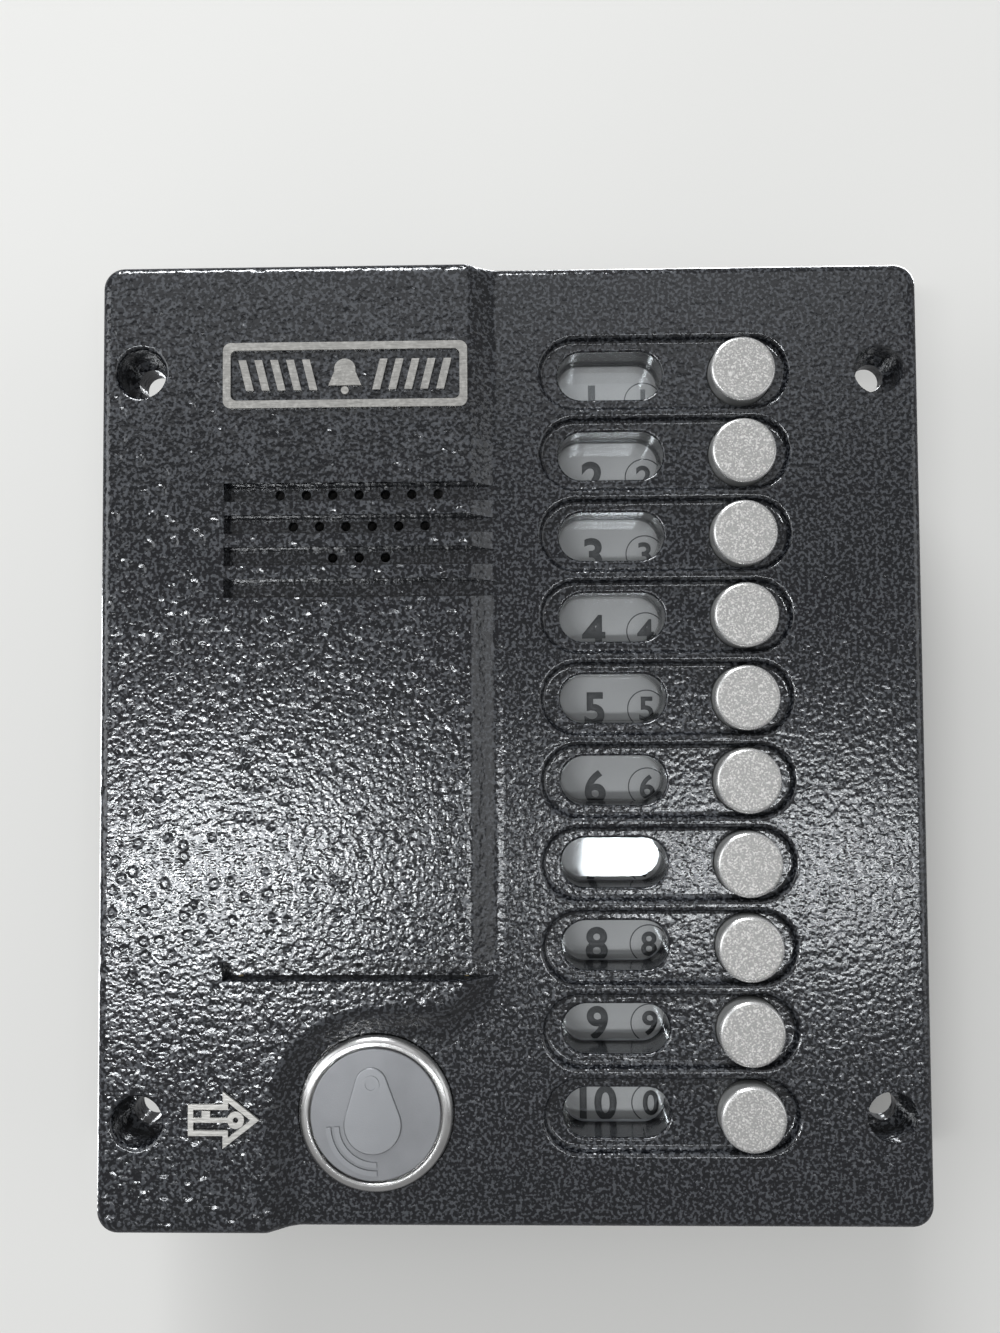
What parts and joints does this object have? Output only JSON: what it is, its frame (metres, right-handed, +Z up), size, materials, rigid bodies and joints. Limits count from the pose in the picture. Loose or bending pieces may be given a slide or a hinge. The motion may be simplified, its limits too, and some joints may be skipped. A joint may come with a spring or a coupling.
{
  "type": "door intercom panel",
  "caption": "Flush wall intercom panel: hammertone die-cast front with lit labels, call buttons, key-fob reader, speaker grille and rear box.",
  "frame": {"origin": "centre of the four mounting holes, on the wall plane that the casting's back rim rests on", "axes": "+X right seen from the front, +Z up, front faces -Y, rear box goes into the wall along +Y"},
  "size_m": [0.15, 0.0331, 0.175],
  "materials": {
    "hammertone_paint": "hammertone, charcoal with grey fleck, bare relief",
    "polished_ring": "polished turned metal",
    "satin_disc": "satin metallic grey",
    "black_rubber": "matt",
    "copper_winding": "varnished copper wire",
    "black_plastic": "moulded, fine texture",
    "zinc_nut": "zinc plated",
    "pressed_steel": "zinc plated sheet",
    "paper_cone": "pulp",
    "magnet_ferrite": "ferrite and plated cup",
    "screw_steel": "zinc plated",
    "capsule_can": "drawn can",
    "clear_plastic": "clear moulded",
    "label_print": "printed numerals",
    "milky_plastic": "translucent white",
    "switch_plastic": "moulded",
    "led_resin": "clear resin over phosphor",
    "board_green": "solder mask",
    "spacer_brass": "turned",
    "terminal_green": "moulded",
    "capacitor_sleeve": "shrink sleeve",
    "chip_epoxy": "moulded epoxy, tinned legs",
    "relay_blue": "moulded case",
    "trimmer_blue": "moulded",
    "trimmer_white": "moulded",
    "ribbon_grey": "flat ribbon",
    "spring_steel": "spring wire",
    "blasted_metal": "bead blasted, turned edge",
    "cover_plastic": "moulded, fine texture"
  },
  "bodies": {
    "housing": {"front_casting": "hammertone_paint", "reader_bezel": "polished_ring", "reader_cap": "satin_disc", "reader_seal": "black_rubber", "reader_coil": "copper_winding", "reader_cup": "black_plastic", "reader_nut": "zinc_nut", "speaker_gasket": "black_rubber", "speaker_frame": "pressed_steel", "speaker_cone": "paper_cone", "speaker_magnet": "magnet_ferrite", "speaker_clamps": "pressed_steel", "small_screws": "screw_steel", "microphone_boot": "black_rubber", "microphone_capsule": "capsule_can", "window_seal": "black_rubber", "window_lens": "clear_plastic", "label_card": "label_print", "label_diffuser": "milky_plastic", "button_guide": "black_plastic", "tact_switches": "switch_plastic", "label_leds": "led_resin", "button_board": "board_green", "main_board": "board_green", "board_spacers": "spacer_brass", "main_board_screws": "screw_steel", "terminal_block": "terminal_green", "terminal_screws": "screw_steel", "capacitors": "capacitor_sleeve", "chips": "chip_epoxy", "lock_relay": "relay_blue", "trimmer_body": "trimmer_blue", "board_headers": "switch_plastic", "board_ribbon": "ribbon_grey", "rear_cover": "cover_plastic", "rear_seal": "black_rubber", "cable_grommet": "black_rubber", "rear_cover_screws": "screw_steel", "button_spring_01": "spring_steel", "button_spring_02": "spring_steel", "button_spring_03": "spring_steel", "button_spring_04": "spring_steel", "button_spring_05": "spring_steel", "button_spring_06": "spring_steel", "button_spring_07": "spring_steel", "button_spring_08": "spring_steel", "button_spring_09": "spring_steel", "button_spring_10": "spring_steel"},
    "volume_rotor": {"trimmer_rotor": "trimmer_white"},
    "button_01": {"button_01": "blasted_metal"},
    "button_02": {"button_02": "blasted_metal"},
    "button_03": {"button_03": "blasted_metal"},
    "button_04": {"button_04": "blasted_metal"},
    "button_05": {"button_05": "blasted_metal"},
    "button_06": {"button_06": "blasted_metal"},
    "button_07": {"button_07": "blasted_metal"},
    "button_08": {"button_08": "blasted_metal"},
    "button_09": {"button_09": "blasted_metal"},
    "button_10": {"button_10": "blasted_metal"}
  },
  "joints": [
    {"name": "button_01_press", "type": "slide", "parent": "housing", "child": "button_01", "axis": [0, 1, 0], "range_m": [0, 0.0012], "stiffness_N_per_m": 1000, "springref_m": -0.001, "deforming": ["button_spring_01"]},
    {"name": "button_02_press", "type": "slide", "parent": "housing", "child": "button_02", "axis": [0, 1, 0], "range_m": [0, 0.0012], "stiffness_N_per_m": 1000, "springref_m": -0.001, "deforming": ["button_spring_02"]},
    {"name": "button_03_press", "type": "slide", "parent": "housing", "child": "button_03", "axis": [0, 1, 0], "range_m": [0, 0.0012], "stiffness_N_per_m": 1000, "springref_m": -0.001, "deforming": ["button_spring_03"]},
    {"name": "button_04_press", "type": "slide", "parent": "housing", "child": "button_04", "axis": [0, 1, 0], "range_m": [0, 0.0012], "stiffness_N_per_m": 1000, "springref_m": -0.001, "deforming": ["button_spring_04"]},
    {"name": "button_05_press", "type": "slide", "parent": "housing", "child": "button_05", "axis": [0, 1, 0], "range_m": [0, 0.0012], "stiffness_N_per_m": 1000, "springref_m": -0.001, "deforming": ["button_spring_05"]},
    {"name": "button_06_press", "type": "slide", "parent": "housing", "child": "button_06", "axis": [0, 1, 0], "range_m": [0, 0.0012], "stiffness_N_per_m": 1000, "springref_m": -0.001, "deforming": ["button_spring_06"]},
    {"name": "button_07_press", "type": "slide", "parent": "housing", "child": "button_07", "axis": [0, 1, 0], "range_m": [0, 0.0012], "stiffness_N_per_m": 1000, "springref_m": -0.001, "deforming": ["button_spring_07"]},
    {"name": "button_08_press", "type": "slide", "parent": "housing", "child": "button_08", "axis": [0, 1, 0], "range_m": [0, 0.0012], "stiffness_N_per_m": 1000, "springref_m": -0.001, "deforming": ["button_spring_08"]},
    {"name": "button_09_press", "type": "slide", "parent": "housing", "child": "button_09", "axis": [0, 1, 0], "range_m": [0, 0.0012], "stiffness_N_per_m": 1000, "springref_m": -0.001, "deforming": ["button_spring_09"]},
    {"name": "button_10_press", "type": "slide", "parent": "housing", "child": "button_10", "axis": [0, 1, 0], "range_m": [0, 0.0012], "stiffness_N_per_m": 1000, "springref_m": -0.001, "deforming": ["button_spring_10"]},
    {"name": "volume_turn", "type": "hinge", "parent": "housing", "child": "volume_rotor", "pos_m": [-0.045, 0.0096, -0.031], "axis": [0, 1, 0], "range_deg": [-130, 130]}
  ]
}
